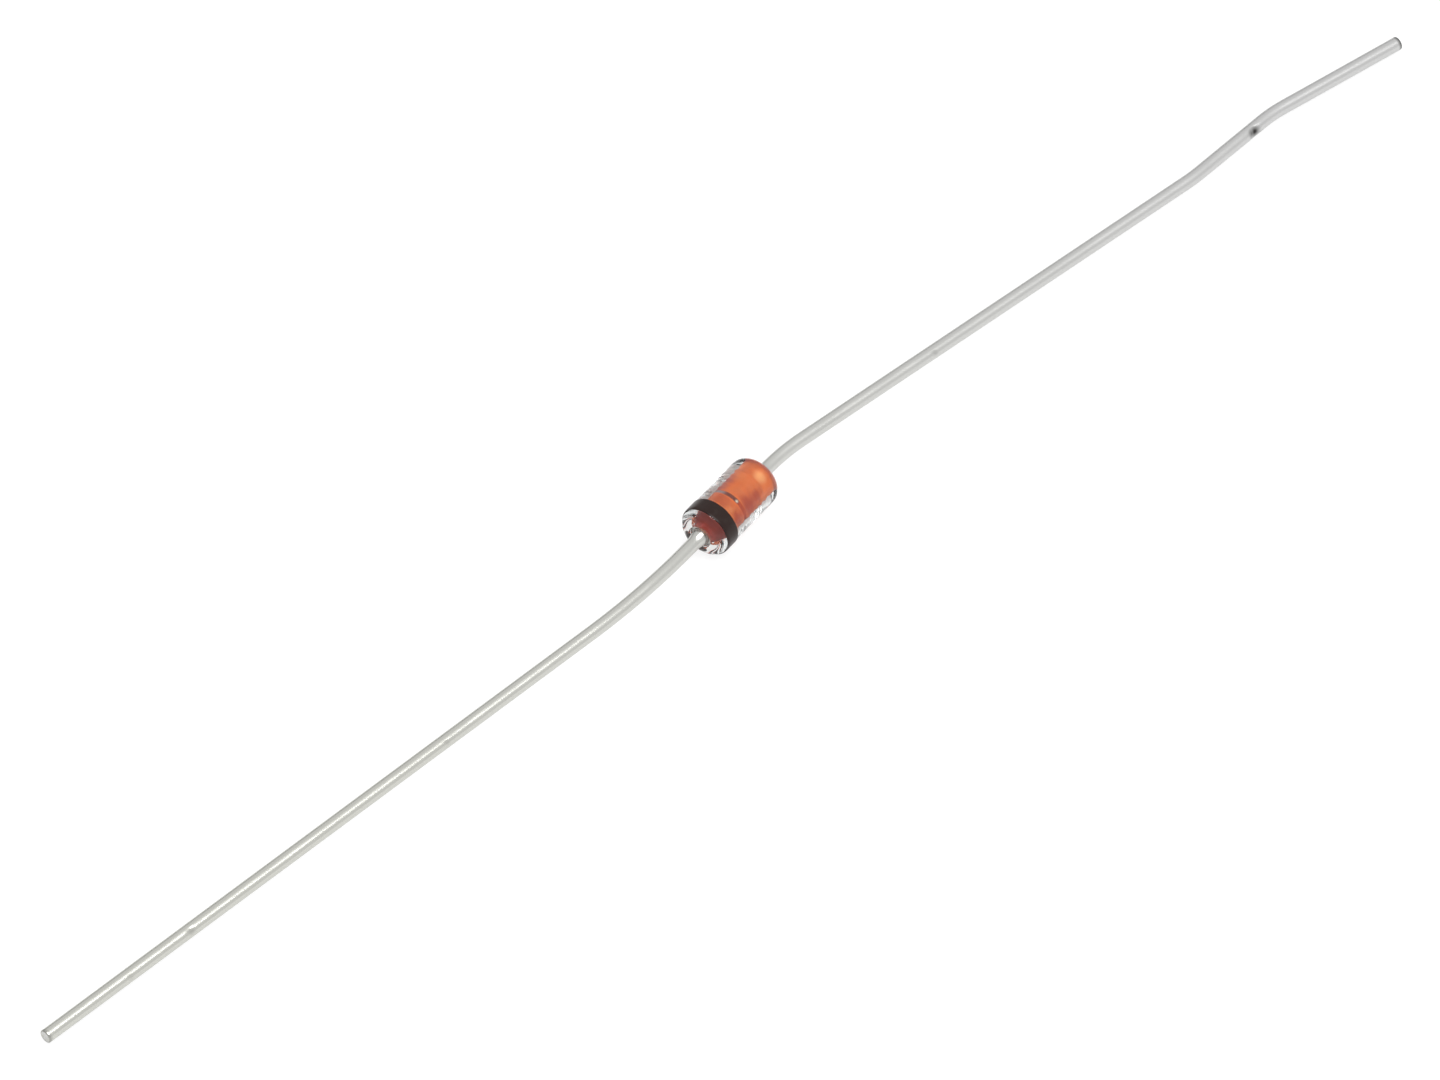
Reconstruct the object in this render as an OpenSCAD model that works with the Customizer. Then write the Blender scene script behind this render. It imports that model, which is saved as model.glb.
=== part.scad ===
// Axial glass diode: two round studs sealed in a clear glass sleeve clamp a silicon die between them.
// A stiff wire lead is butt-welded to each stud, and a painted band marks the cathode end.
// Lengths are in millimetres. The axis of the sleeve is X, with the banded end at -X and +Z up.
// The part lies on its side: the band and both lead tips touch the surface below.

/* [Glass sleeve] */
// Outer diameter of the sleeve
glass_d = 1.85; // [1.6:0.05:2.2]
// Length of the sleeve
glass_len = 3.4; // [3.1:0.1:4.2]
// Radius of the rounded outer edge at each end
glass_round = 0.42; // [0.2:0.02:0.44]
// Radius of the inner lip around each stud
glass_lip = 0.02; // [0.01:0.01:0.1]

/* [Studs] */
// Diameter of both studs and of the bore that they are sealed in
stud_d = 0.82; // [0.8:0.02:1.0]
// Depth of a stud's outer face below the end of the glass
stud_recess = 0.1; // [0.06:0.02:0.2]
// Bevel at both edges of a stud
stud_bevel = 0.01; // [0.01:0.01:0.05]

/* [Die] */
// Side of the square silicon die
die_side = 0.36; // [0.25:0.01:0.45]
// Thickness of the die
die_t = 0.08; // [0.08:0.01:0.2]
// Diameter of the silver contact bump at its foot on the die
bump_d = 0.2; // [0.18:0.01:0.24]
// Height at which the stud flattens the bump
bump_t = 0.03; // [0.03:0.01:0.08]
// Distance of the gap between the studs from the middle of the sleeve, towards the band
die_shift = 0.08; // [0:0.02:0.3]

/* [Cathode band] */
// Width of the painted band
band_w = 0.58; // [0.4:0.02:0.9]
// Distance of the band from the end of the glass; under the rounding it wraps over the rounded edge
band_inset = 0.28; // [0.2:0.02:0.6]
// Thickness of the paint
band_t = 0.02; // [0.01:0.005:0.03]

/* [Lead wire] */
// Diameter of the wire
lead_d = 0.48; // [0.42:0.02:0.56]
// Length of wire in each lead, measured along its bends
lead_len = 30; // [27:0.5:36]
// Diameter of the weld flare on the stud
weld_d = 0.64; // [0.56:0.02:0.78]
// Length of the weld flare
weld_len = 0.5; // [0.2:0.05:0.7]
// Bevel on the cut end of a lead
tip_bevel = 0.04; // [0.02:0.01:0.1]

/* [Cathode lead bend] */
// Straight length from the stud to the bend
cathode_root = 0.6; // [0.4:0.1:2.5]
// Angle of the bend
cathode_bend = 10.4; // [6:0.1:14]
// Radius of the bend
cathode_bend_r = 28; // [12:1:36]

/* [Anode lead bends] */
// Straight length from the stud to the first bend
anode_root = 0.5; // [0.4:0.1:2.5]
// Angle of the first bend
anode_bend_1 = 11.3; // [7:0.1:14]
// Radius of the first bend
anode_bend_1_r = 9; // [5:0.5:14]
// Straight length from the first bend to the kink
anode_run = 17.7; // [15:0.1:20]
// Angle that the wire turns back at the start of the kink
anode_bend_2 = 5.3; // [3:0.1:7]
// Radius of the turn back
anode_bend_2_r = 8; // [5:0.5:12]
// Straight length inside the kink
anode_kink = 3.2; // [1.5:0.1:4]
// Angle of the bend that ends the kink
anode_bend_3 = 9.7; // [8:0.1:12]
// Radius of the bend that ends the kink
anode_bend_3_r = 6; // [4:0.5:10]

/* [Hidden] */
$fn = 72;

// Largest turn between two straight pieces of a bend, in degrees
turn_max = 2.2;
// Length by which a cutting block passes the wire
cut_over = 0.3;

glass_r = glass_d / 2;
stud_r = stud_d / 2;
lead_r = lead_d / 2;
weld_r = weld_d / 2;
wall = glass_r - stud_r;
// The outer rounding leaves a flat ring at least as wide as half the lip
outer_round = min(glass_round, wall - 1.5 * glass_lip);
// Space between the studs, filled by the die and its bump
gap = die_t + bump_t;
stud_face = glass_len / 2 - stud_recess;
// Distance from the middle of the sleeve to where its outer edge starts to round
shoulder = glass_len / 2 - outer_round;
// Height of the sleeve's axis above the surface, taken at the band
rest_h = glass_r + band_t;
tin_grey = [0.74, 0.74, 0.73];
stud_red = [0.72, 0.33, 0.20];

// A wire is a list of [straight length, turn at its end]. Turns are in degrees, and plus is to the left.
function corners(turn) = max(2, ceil(abs(turn) / turn_max));
// Distance from the end of a bend's arc to the nearest corner, which is half a step between corners
function half_step(turn, radius) = radius * tan(abs(turn) / corners(turn) / 2);
// A straight run and the bend after it; before is the half step left over from the bend that came first
function run(length, turn, radius, before = 0) = [
    for (i = [1:corners(turn)])
        [
            half_step(turn, radius) + (i == 1 ? before + length : half_step(turn, radius)),
            turn / corners(turn)
        ]
];
function total(list) = len(list) == 0 ? 0 : list * [for (v = list) 1];
function wire_len(wire) = total([for (p = wire) p[0]]);
function heading(wire, i) = i == 0 ? 0 : total([for (k = [0:i - 1]) wire[k][1]]);
function side_shift(wire) = total([for (i = [0:len(wire) - 1]) wire[i][0] * sin(heading(wire, i))]);
// The last straight run takes what is left of the wire
function cut_to_length(wire) = concat(wire, [[lead_len - wire_len(wire), 0]]);
// Turn about the sleeve's axis that brings the lead's tip down to the surface
function droop(wire) = asin((rest_h - lead_r) / abs(side_shift(wire)));

cathode_wire = cut_to_length(run(cathode_root, -cathode_bend, cathode_bend_r));
anode_wire = cut_to_length(concat(
    run(anode_root, -anode_bend_1, anode_bend_1_r),
    run(anode_run, anode_bend_2, anode_bend_2_r, half_step(anode_bend_1, anode_bend_1_r)),
    run(anode_kink, -anode_bend_3, anode_bend_3_r, half_step(anode_bend_2, anode_bend_2_r))
));

// Everything on one side of the plane x = 0, out to past the wire
module half_space(side) {
    block = lead_d + 2 * cut_over;
    translate([side > 0 ? 0 : -block, -block / 2, -block / 2])
        cube(block);
}

// Round bar along +X
module bar(length, radius) {
    rotate([0, 90, 0])
        cylinder(h = length, r = radius);
}

// Wire end with a bevelled rim, along +X
module tip_bar(length) {
    bar(length - tip_bevel, lead_r);
    translate([length - tip_bevel, 0, 0])
        rotate([0, 90, 0])
            cylinder(h = tip_bevel, r1 = lead_r, r2 = lead_r - tip_bevel);
}

// Straight pieces from number i on, mitred where they meet
module mitred(wire, i = 0, turn_before = 0) {
    length = wire[i][0];
    turn = wire[i][1];
    last = i == len(wire) - 1;
    rotate([0, 0, turn_before / 2]) {
        difference() {
            translate([i == 0 ? 0 : -cut_over / 2, 0, 0])
                if (last)
                    tip_bar(length + cut_over / 2);
                else
                    bar(length + (i == 0 ? 0.5 : 1) * cut_over, lead_r);
            if (i > 0)
                rotate([0, 0, -turn_before / 2])
                    half_space(-1);
            if (!last)
                translate([length, 0, 0])
                    rotate([0, 0, turn / 2])
                        half_space(1);
        }
        if (!last)
            translate([length, 0, 0])
                rotate([0, 0, turn / 2])
                    mitred(wire, i + 1, turn);
    }
}

// Lead on the +X side, with its weld flare on the stud's outer face
module lead(wire) {
    translate([stud_face, 0, 0]) {
        rotate([droop(wire), 0, 0])
            mitred(wire);
        rotate([0, 90, 0])
            cylinder(h = weld_len, r1 = weld_r, r2 = lead_r);
    }
}

// Stud on the +X side that starts at the given place on the axis, bevelled at both faces
module stud(inner_face) {
    rotate([0, 90, 0])
        rotate_extrude()
            polygon([
                [0, inner_face],
                [stud_r - stud_bevel, inner_face],
                [stud_r, inner_face + stud_bevel],
                [stud_r, stud_face - stud_bevel],
                [stud_r - stud_bevel, stud_face],
                [0, stud_face]
            ]);
}

// Half of the sleeve's wall in section, from its middle to one end
module wall_section() {
    end = glass_len / 2;
    translate([stud_r, 0])
        square([wall, shoulder]);
    translate([stud_r, 0])
        square([wall - outer_round, end - glass_lip]);
    translate([stud_r + glass_lip, 0])
        square([wall - outer_round - glass_lip, end]);
    translate([glass_r - outer_round, shoulder])
        intersection() {
            circle(r = outer_round);
            square(outer_round);
        }
    translate([stud_r + glass_lip, end - glass_lip])
        circle(r = glass_lip);
}

module glass_sleeve() {
    color([0.85, 0.92, 0.95, 0.4])
        rotate([0, 90, 0])
            rotate_extrude() {
                wall_section();
                mirror([0, 1])
                    wall_section();
            }
}

// Outside of the sleeve from its middle to one end, with a layer of the given thickness on it
module coated_outline(layer) {
    square([glass_r + layer, shoulder]);
    translate([glass_r - outer_round, shoulder])
        intersection() {
            circle(r = outer_round + layer);
            square(outer_round + layer);
        }
}

module cathode_band() {
    color([0.06, 0.06, 0.07])
        rotate([0, -90, 0])
            rotate_extrude()
                intersection() {
                    difference() {
                        coated_outline(band_t);
                        coated_outline(0);
                    }
                    translate([glass_r - outer_round, glass_len / 2 - band_inset - band_w])
                        square([outer_round + band_t, band_w]);
                }
}

module cathode_stud() {
    color(stud_red)
        rotate([0, 0, 180])
            stud(gap / 2 + die_shift);
}

module anode_stud() {
    color(stud_red)
        stud(gap / 2 - die_shift);
}

module zener_die() {
    color([0.34, 0.35, 0.38])
        translate([-gap / 2 - die_shift, -die_side / 2, -die_side / 2])
            cube([die_t, die_side, die_side]);
}

module die_bump() {
    color([0.86, 0.86, 0.84])
        translate([gap / 2 - die_shift - bump_t, 0, 0])
            intersection() {
                sphere(d = bump_d);
                translate([0, -bump_d, -bump_d])
                    cube([bump_t, 2 * bump_d, 2 * bump_d]);
            }
}

module cathode_lead() {
    color(tin_grey)
        rotate([0, 0, 180])
            lead(cathode_wire);
}

module anode_lead() {
    color(tin_grey)
        lead(anode_wire);
}

glass_sleeve();
cathode_band();
cathode_stud();
anode_stud();
zener_die();
die_bump();
cathode_lead();
anode_lead();
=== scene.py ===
import bisect
import math

import bmesh
import bpy
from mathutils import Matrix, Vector


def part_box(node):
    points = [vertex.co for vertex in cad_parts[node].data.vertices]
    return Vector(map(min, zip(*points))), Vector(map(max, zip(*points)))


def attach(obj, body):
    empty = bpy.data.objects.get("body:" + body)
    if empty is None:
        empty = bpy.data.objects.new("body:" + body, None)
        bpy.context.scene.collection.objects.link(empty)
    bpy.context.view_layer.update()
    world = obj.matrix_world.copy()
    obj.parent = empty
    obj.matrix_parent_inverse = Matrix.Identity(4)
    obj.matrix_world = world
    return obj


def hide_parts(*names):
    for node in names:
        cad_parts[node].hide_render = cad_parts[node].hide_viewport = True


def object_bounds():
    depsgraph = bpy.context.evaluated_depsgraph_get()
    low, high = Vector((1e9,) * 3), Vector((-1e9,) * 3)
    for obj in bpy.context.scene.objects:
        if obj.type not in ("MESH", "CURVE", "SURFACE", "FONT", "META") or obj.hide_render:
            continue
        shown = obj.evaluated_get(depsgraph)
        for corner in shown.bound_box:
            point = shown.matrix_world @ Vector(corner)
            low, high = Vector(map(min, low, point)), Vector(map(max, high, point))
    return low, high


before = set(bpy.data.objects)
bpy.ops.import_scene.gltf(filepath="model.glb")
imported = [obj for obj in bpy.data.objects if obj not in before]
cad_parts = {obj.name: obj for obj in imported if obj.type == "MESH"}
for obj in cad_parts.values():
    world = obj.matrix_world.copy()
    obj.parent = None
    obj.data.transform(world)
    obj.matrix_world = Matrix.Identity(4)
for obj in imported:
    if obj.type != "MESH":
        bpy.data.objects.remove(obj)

bl_info = {
    "name": "Glass Zener Diode",
    "version": (1, 0, 0),
    "blender": (4, 5, 0),
    "location": "View3D > Sidebar > Diode",
    "description": "Models an axial glass zener diode, lying on a pale table",
    "category": "Add Mesh",
}

CAD_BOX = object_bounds()

MM = 0.001
AXIS = (1.0, 0.0, 0.0)
# Places nearer to each other than this count as one
TOUCH = 0.0001 * MM
# Attribute of a lead that tells how dark its tin is painted, by grime and painted shade
GRIME_AND_SHADE = "grime"


def reach(node):
    """Lowest and highest place of a node along the axis of the sleeve."""
    low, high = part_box(node)
    return low.x, high.x


def radius(node):
    """Radius of a node that is round about the axis of the sleeve."""
    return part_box(node)[1].z


def length_prop(name, description, millimetres):
    """A length, given in millimetres, that the sidebar shows in the scene's units."""
    return bpy.props.FloatProperty(
        name=name, description=description, default=millimetres * MM, unit="LENGTH", precision=5
    )


def turn_prop(name, description, degrees):
    """An angle that the sidebar shows in degrees."""
    return bpy.props.FloatProperty(
        name=name, description=description, default=math.radians(degrees), subtype="ANGLE"
    )


def colour_prop(name, description, default):
    """A linear colour."""
    return bpy.props.FloatVectorProperty(
        name=name, description=description, default=default, size=3, subtype="COLOR", min=0.0, max=1.0
    )


class DiodeBodySizes(bpy.types.PropertyGroup):
    """Sizes of the sleeve, the band and what is sealed inside"""

    glass_round: length_prop("Glass rounding", "Radius of the sleeve's melted outer edges", 0.42)
    glass_lip: length_prop("Glass lip", "Radius of the lip where the glass meets a stud", 0.02)
    glass_wave: length_prop("Glass wave", "Height of the slow waves in the drawn glass", 0.006)
    glass_wave_size: length_prop("Glass wave size", "How far apart the waves in the glass are", 0.9)
    seal_depth: length_prop("Seal depth", "How far the studs and the band sink into the glass", 0.004)
    stud_bevel: length_prop("Stud bevel", "Bevel at both edges of a stud", 0.01)
    band_edge: length_prop("Band edge", "Rounding of the paint at the edges of the band", 0.012)
    band_wander: length_prop("Band wander", "How far the painted edges stray from a true ring", 0.02)
    band_wander_size: length_prop("Band wander size", "How far apart the strays are", 0.5)
    # The film on the bore is painted shade in the gap between the studs
    film_overlap: length_prop("Film overlap", "How far the film on the bore passes the gap", 0.04)
    die_bevel: length_prop("Die bevel", "Bevel left by the saw at the edges of the die", 0.012)


class DiodeWireSizes(bpy.types.PropertyGroup):
    """Sizes of the two leads, measured along the wire from the outer face of a stud"""

    wire_radius: length_prop("Wire radius", "Radius of the tinned wire", 0.24)
    wire_length: length_prop("Wire length", "Length of wire in each lead", 30.0)
    weld_radius: length_prop("Weld radius", "Radius of the weld bead on the stud", 0.32)
    weld_length: length_prop("Weld length", "Length of the weld bead", 0.5)
    tip_bevel: length_prop("Tip bevel", "Rounding at the rim of a cut end", 0.04)
    cathode_root: length_prop("Cathode root", "Straight wire from the cathode stud to its bend", 0.6)
    cathode_bend: turn_prop("Cathode bend", "Angle of the cathode lead's bend", 10.4)
    cathode_bend_radius: length_prop("Cathode bend radius", "Radius of the cathode bend", 28.0)
    anode_root: length_prop("Anode root", "Straight wire from the anode stud to its first bend", 0.5)
    anode_bend: turn_prop("Anode bend", "Angle of the anode lead's first bend", 11.3)
    anode_bend_radius: length_prop("Anode bend radius", "Radius of the first bend", 9.0)
    anode_run: length_prop("Anode run", "Straight wire from the first bend to the kink", 17.7)
    kink_start: turn_prop("Kink start", "Angle that the wire turns back where the kink starts", 5.3)
    kink_start_radius: length_prop("Kink start radius", "Radius of the turn back", 8.0)
    kink_run: length_prop("Kink run", "Straight wire inside the kink", 3.2)
    kink_end: turn_prop("Kink end", "Angle of the bend that ends the kink", 9.7)
    kink_end_radius: length_prop("Kink end radius", "Radius of the bend that ends the kink", 6.0)


class DiodeColours(bpy.types.PropertyGroup):
    """Colours of the finishes"""

    glass: colour_prop("Glass", "Tint of the clear sleeve", (0.96, 0.985, 0.98))
    band: colour_prop("Band", "Black paint of the cathode band", (0.02, 0.009, 0.007))
    band_thin: colour_prop("Band, thin", "Paint where it is thinner", (0.034, 0.024, 0.02))
    stud: colour_prop("Stud", "Orange-red oxide of the studs", (0.97, 0.19, 0.03))
    # Stud, bright: paler copper where the oxide is thin, also the colour of the painted highlights
    stud_bright_and_highlight: colour_prop("Stud, bright", "Copper that shows where the oxide is thin", (1.0, 0.4, 0.15))
    # Stud, dark: deep red of thick oxide, also used as painted shade at the studs' ends and low on their near
    # side
    stud_dark_and_shade: colour_prop("Stud, dark", "Deep red where the oxide is thick", (0.52, 0.045, 0.02))
    # Stud, mauve: tarnish with painted sheen along the side away from the camera
    stud_mauve_sheen: colour_prop("Stud, mauve", "Dull tarnish along one side of a stud", (0.53, 0.085, 0.076))
    silicon: colour_prop("Silicon", "Polished silicon of the die", (0.10, 0.10, 0.115))
    silicon_pale: colour_prop("Silicon, pale", "Silicon where it is duller", (0.17, 0.17, 0.19))
    silver: colour_prop("Silver", "Plated silver of the bump", (0.85, 0.83, 0.78))
    silver_pale: colour_prop("Silver, pale", "Silver where its grain is coarser", (0.93, 0.92, 0.9))
    tin: colour_prop("Tin", "Tin on the leads", (0.62, 0.62, 0.615))
    tin_warm: colour_prop("Tin, warm", "Tin that has yellowed a little", (0.62, 0.62, 0.575))
    # Film colours: a dark film that paints the shade in the gap between the studs, paler and redder in parts
    film: colour_prop("Film", "Red-brown film on the bore between the studs", (0.24, 0.06, 0.04))
    film_pale: colour_prop("Film, pale", "Film where it is thin", (0.45, 0.3, 0.31))
    film_red: colour_prop("Film, red", "Film as red as the studs beside it", (0.63, 0.08, 0.02))
    # The fleck is a painted glint on the film in the gap between the studs
    glint: colour_prop("Fleck", "Silver splashed on the film between the studs", (0.95, 0.85, 0.65))
    # Grime: dark residue, also painted shade in the hollow of a dent
    grime: colour_prop("Grime", "Dark residue in the dents of a lead", (0.045, 0.043, 0.04))
    table: colour_prop("Table", "Pale table under the diode", (0.8, 0.8, 0.8))


# Modelling by hand: selections, primitives and edit mode

# Distance within which corners of a mesh are merged, in metres
SAME_POINT = 1e-8
# Steps round the axis and longest edge along it in a piece that is spun
ROUND_STEPS = 192
LONGEST_EDGE = 0.05 * MM


def put_down():
    """Leave edit mode and deselect everything."""
    if bpy.context.object and bpy.context.object.mode != "OBJECT":
        bpy.ops.object.mode_set(mode="OBJECT")
    bpy.ops.object.select_all(action="DESELECT")


def take_up(name):
    """Name the primitive that was just added, put its place in its mesh and open it in edit mode."""
    piece = bpy.context.object
    piece.name = name
    piece.data.name = name
    bpy.ops.object.transform_apply(location=True, rotation=True, scale=True)
    bpy.ops.object.mode_set(mode="EDIT")
    return piece


def pick(piece, kind, test):
    """Select the verts, edges or faces of a piece in edit mode whose middle passes the test."""
    bpy.ops.mesh.select_mode(type={"verts": "VERT", "edges": "EDGE", "faces": "FACE"}[kind])
    bpy.ops.mesh.select_all(action="DESELECT")
    mesh = bmesh.from_edit_mesh(piece.data)
    found = 0
    for item in getattr(mesh, kind):
        corners = [item.co] if kind == "verts" else [corner.co for corner in item.verts]
        if test(sum(corners, Vector()) / len(corners)):
            item.select_set(True)
            found += 1
    bmesh.update_edit_mesh(piece.data)
    if not found:
        raise RuntimeError(f"{piece.name}: no {kind} to work on")


def close_up(piece, smooth=40):
    """Merge doubles, turn the faces outwards, leave edit mode and smooth edges of up to so many degrees."""
    bpy.ops.mesh.select_mode(type="VERT")
    bpy.ops.mesh.select_all(action="SELECT")
    bpy.ops.mesh.remove_doubles(threshold=SAME_POINT)
    bpy.ops.mesh.normals_make_consistent(inside=False)
    bpy.ops.object.mode_set(mode="OBJECT")
    bpy.ops.object.shade_smooth_by_angle(angle=math.radians(smooth))
    mesh = bmesh.new()
    mesh.from_mesh(piece.data)
    open_edges = sum(1 for edge in mesh.edges if len(edge.link_faces) != 2)
    mesh.free()
    if open_edges:
        raise RuntimeError(f"{piece.name}: {open_edges} edges are open")


def hand_over(piece, node, slot, *finishes):
    """Dress a finished piece and let it stand for its solid."""
    for finish in finishes:
        piece.data.materials.append(finish)
    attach(piece, "root")
    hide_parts(node)


def ring_section(name, low, high, inner, outer):
    """A flat strip in the XY plane: half of a ring's section, from low to high along the axis."""
    put_down()
    bpy.ops.mesh.primitive_plane_add(size=1.0, location=((low + high) / 2, (inner + outer) / 2, 0))
    bpy.context.object.scale = (high - low, outer - inner, 1)
    return take_up(name)


def round_corners(piece, test, size, segments):
    """Round the corners of a flat section that pass the test."""
    pick(piece, "verts", test)
    bpy.ops.mesh.bevel(offset=size, segments=segments, affect="VERTICES", clamp_overlap=False)


def spin_ring(piece):
    """Split the long edges of a flat section, then spin its outline round the axis into a closed ring."""
    bpy.ops.mesh.select_all(action="SELECT")
    bpy.ops.mesh.delete(type="ONLY_FACE")
    bpy.ops.mesh.select_mode(type="EDGE")
    bpy.ops.mesh.select_all(action="DESELECT")
    mesh = bmesh.from_edit_mesh(piece.data)
    for edge in mesh.edges:
        edge.select_set(edge.calc_length() > LONGEST_EDGE)
    bmesh.update_edit_mesh(piece.data)
    span = max(edge.calc_length() for edge in mesh.edges)
    if span > LONGEST_EDGE:
        bpy.ops.mesh.subdivide(number_cuts=math.ceil(span / LONGEST_EDGE) - 1)
    bpy.ops.mesh.select_all(action="SELECT")
    bpy.ops.mesh.spin(steps=ROUND_STEPS, angle=math.tau, center=(0, 0, 0), axis=AXIS)


def ripple(piece, height, size, direction="NORMAL"):
    """Push the surface in and out by a slow cloud pattern, and apply it."""
    clouds = bpy.data.textures.new(piece.name + "_ripple", "CLOUDS")
    clouds.noise_scale = size
    clouds.noise_depth = 1
    modifier = piece.modifiers.new("Ripple", "DISPLACE")
    modifier.texture = clouds
    modifier.texture_coords = "LOCAL"
    modifier.direction = direction
    modifier.mid_level = 0.5
    modifier.strength = height
    bpy.ops.object.modifier_apply(modifier=modifier.name)


# Finishes


def new_group(name, inputs, output):
    """A shader node group that puts out one number, and the nodes at its two ends.

    Each input has the number that it starts from, or None where it is a vector."""
    group = bpy.data.node_groups.new(name, "ShaderNodeTree")
    for socket, default in inputs.items():
        kind = "NodeSocketVector" if default is None else "NodeSocketFloat"
        made = group.interface.new_socket(name=socket, in_out="INPUT", socket_type=kind)
        if default is not None:
            made.default_value = default
    group.interface.new_socket(name=output, in_out="OUTPUT", socket_type="NodeSocketFloat")
    return group, group.nodes.new("NodeGroupInput"), group.nodes.new("NodeGroupOutput")


def join(tree, *links):
    """Link nodes of a tree; a link is a node, its output, the next node and that one's input."""
    for source, output, target, entry in links:
        tree.links.new(source.outputs[output], target.inputs[entry])


def add_maths(tree, operation):
    """A vector maths node in a tree."""
    made = tree.nodes.new("ShaderNodeVectorMath")
    made.operation = operation
    return made


def mottle_group():
    """Soft patches: a mask that drifts between 0 and 1 over the surface."""
    if "Mottle" in bpy.data.node_groups:
        return bpy.data.node_groups["Mottle"]
    inputs = {"Vector": None, "Scale": 1000.0, "Low": 0.35, "High": 0.65}
    group, start, end = new_group("Mottle", inputs, "Mask")
    noise = group.nodes.new("ShaderNodeTexNoise")
    noise.inputs["Detail"].default_value = 3.0
    noise.inputs["Roughness"].default_value = 0.55
    spread = group.nodes.new("ShaderNodeMapRange")
    spread.interpolation_type = "SMOOTHSTEP"
    join(
        group,
        (start, "Vector", noise, "Vector"),
        (start, "Scale", noise, "Scale"),
        (noise, "Fac", spread, "Value"),
        (start, "Low", spread, "From Min"),
        (start, "High", spread, "From Max"),
        (spread, "Result", end, "Mask"),
    )
    return group


# Scale of the noise that frays the edge of a spot
RAGGED_SCALE = 4500.0


def spot_group():
    """A spot: a mask that is 1 in its core and fades to 0 at its size, with an edge that may be ragged."""
    if "Spot" in bpy.data.node_groups:
        return bpy.data.node_groups["Spot"]
    inputs = {"Vector": None, "Middle": None, "Core": 0.0, "Size": 1 * MM, "Ragged": 0.0}
    group, start, end = new_group("Spot", inputs, "Mask")
    noise = group.nodes.new("ShaderNodeTexNoise")
    noise.inputs["Scale"].default_value = RAGGED_SCALE
    level = add_maths(group, "SUBTRACT")
    level.inputs[1].default_value = (0.5, 0.5, 0.5)
    stray = add_maths(group, "SCALE")
    moved = add_maths(group, "ADD")
    apart = add_maths(group, "DISTANCE")
    fade = group.nodes.new("ShaderNodeMapRange")
    fade.interpolation_type = "SMOOTHSTEP"
    fade.inputs["To Min"].default_value = 1.0
    fade.inputs["To Max"].default_value = 0.0
    join(
        group,
        (start, "Vector", noise, "Vector"),
        (noise, "Color", level, 0),
        (level, "Vector", stray, 0),
        (start, "Ragged", stray, "Scale"),
        (start, "Vector", moved, 0),
        (stray, "Vector", moved, 1),
        (moved, "Vector", apart, 0),
        (start, "Middle", apart, 1),
        (apart, "Value", fade, "Value"),
        (start, "Core", fade, "From Min"),
        (start, "Size", fade, "From Max"),
        (fade, "Result", end, "Mask"),
    )
    return group


def drawn_lines_group():
    """Fine lines along a drawn surface: a height that changes fast across it and slowly along it."""
    if "Drawn lines" in bpy.data.node_groups:
        return bpy.data.node_groups["Drawn lines"]
    group, start, end = new_group("Drawn lines", {"Vector": None, "Along": 1.0, "Across": 40.0}, "Height")
    stretch = group.nodes.new("ShaderNodeCombineXYZ")
    scaled = add_maths(group, "MULTIPLY")
    noise = group.nodes.new("ShaderNodeTexNoise")
    noise.inputs["Scale"].default_value = 1.0
    noise.inputs["Detail"].default_value = 2.0
    join(
        group,
        (start, "Along", stretch, "X"),
        (start, "Across", stretch, "Y"),
        (start, "Across", stretch, "Z"),
        (start, "Vector", scaled, 0),
        (stretch, "Vector", scaled, 1),
        (scaled, "Vector", noise, "Vector"),
        (noise, "Fac", end, "Height"),
    )
    return group


# Depth of the fine marks that a finish's bump draws
FINE_MARK = 0.01 * MM


def dimmed(colour, share):
    """Colour at a share of its brightness."""
    return tuple(share * value for value in colour)


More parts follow.
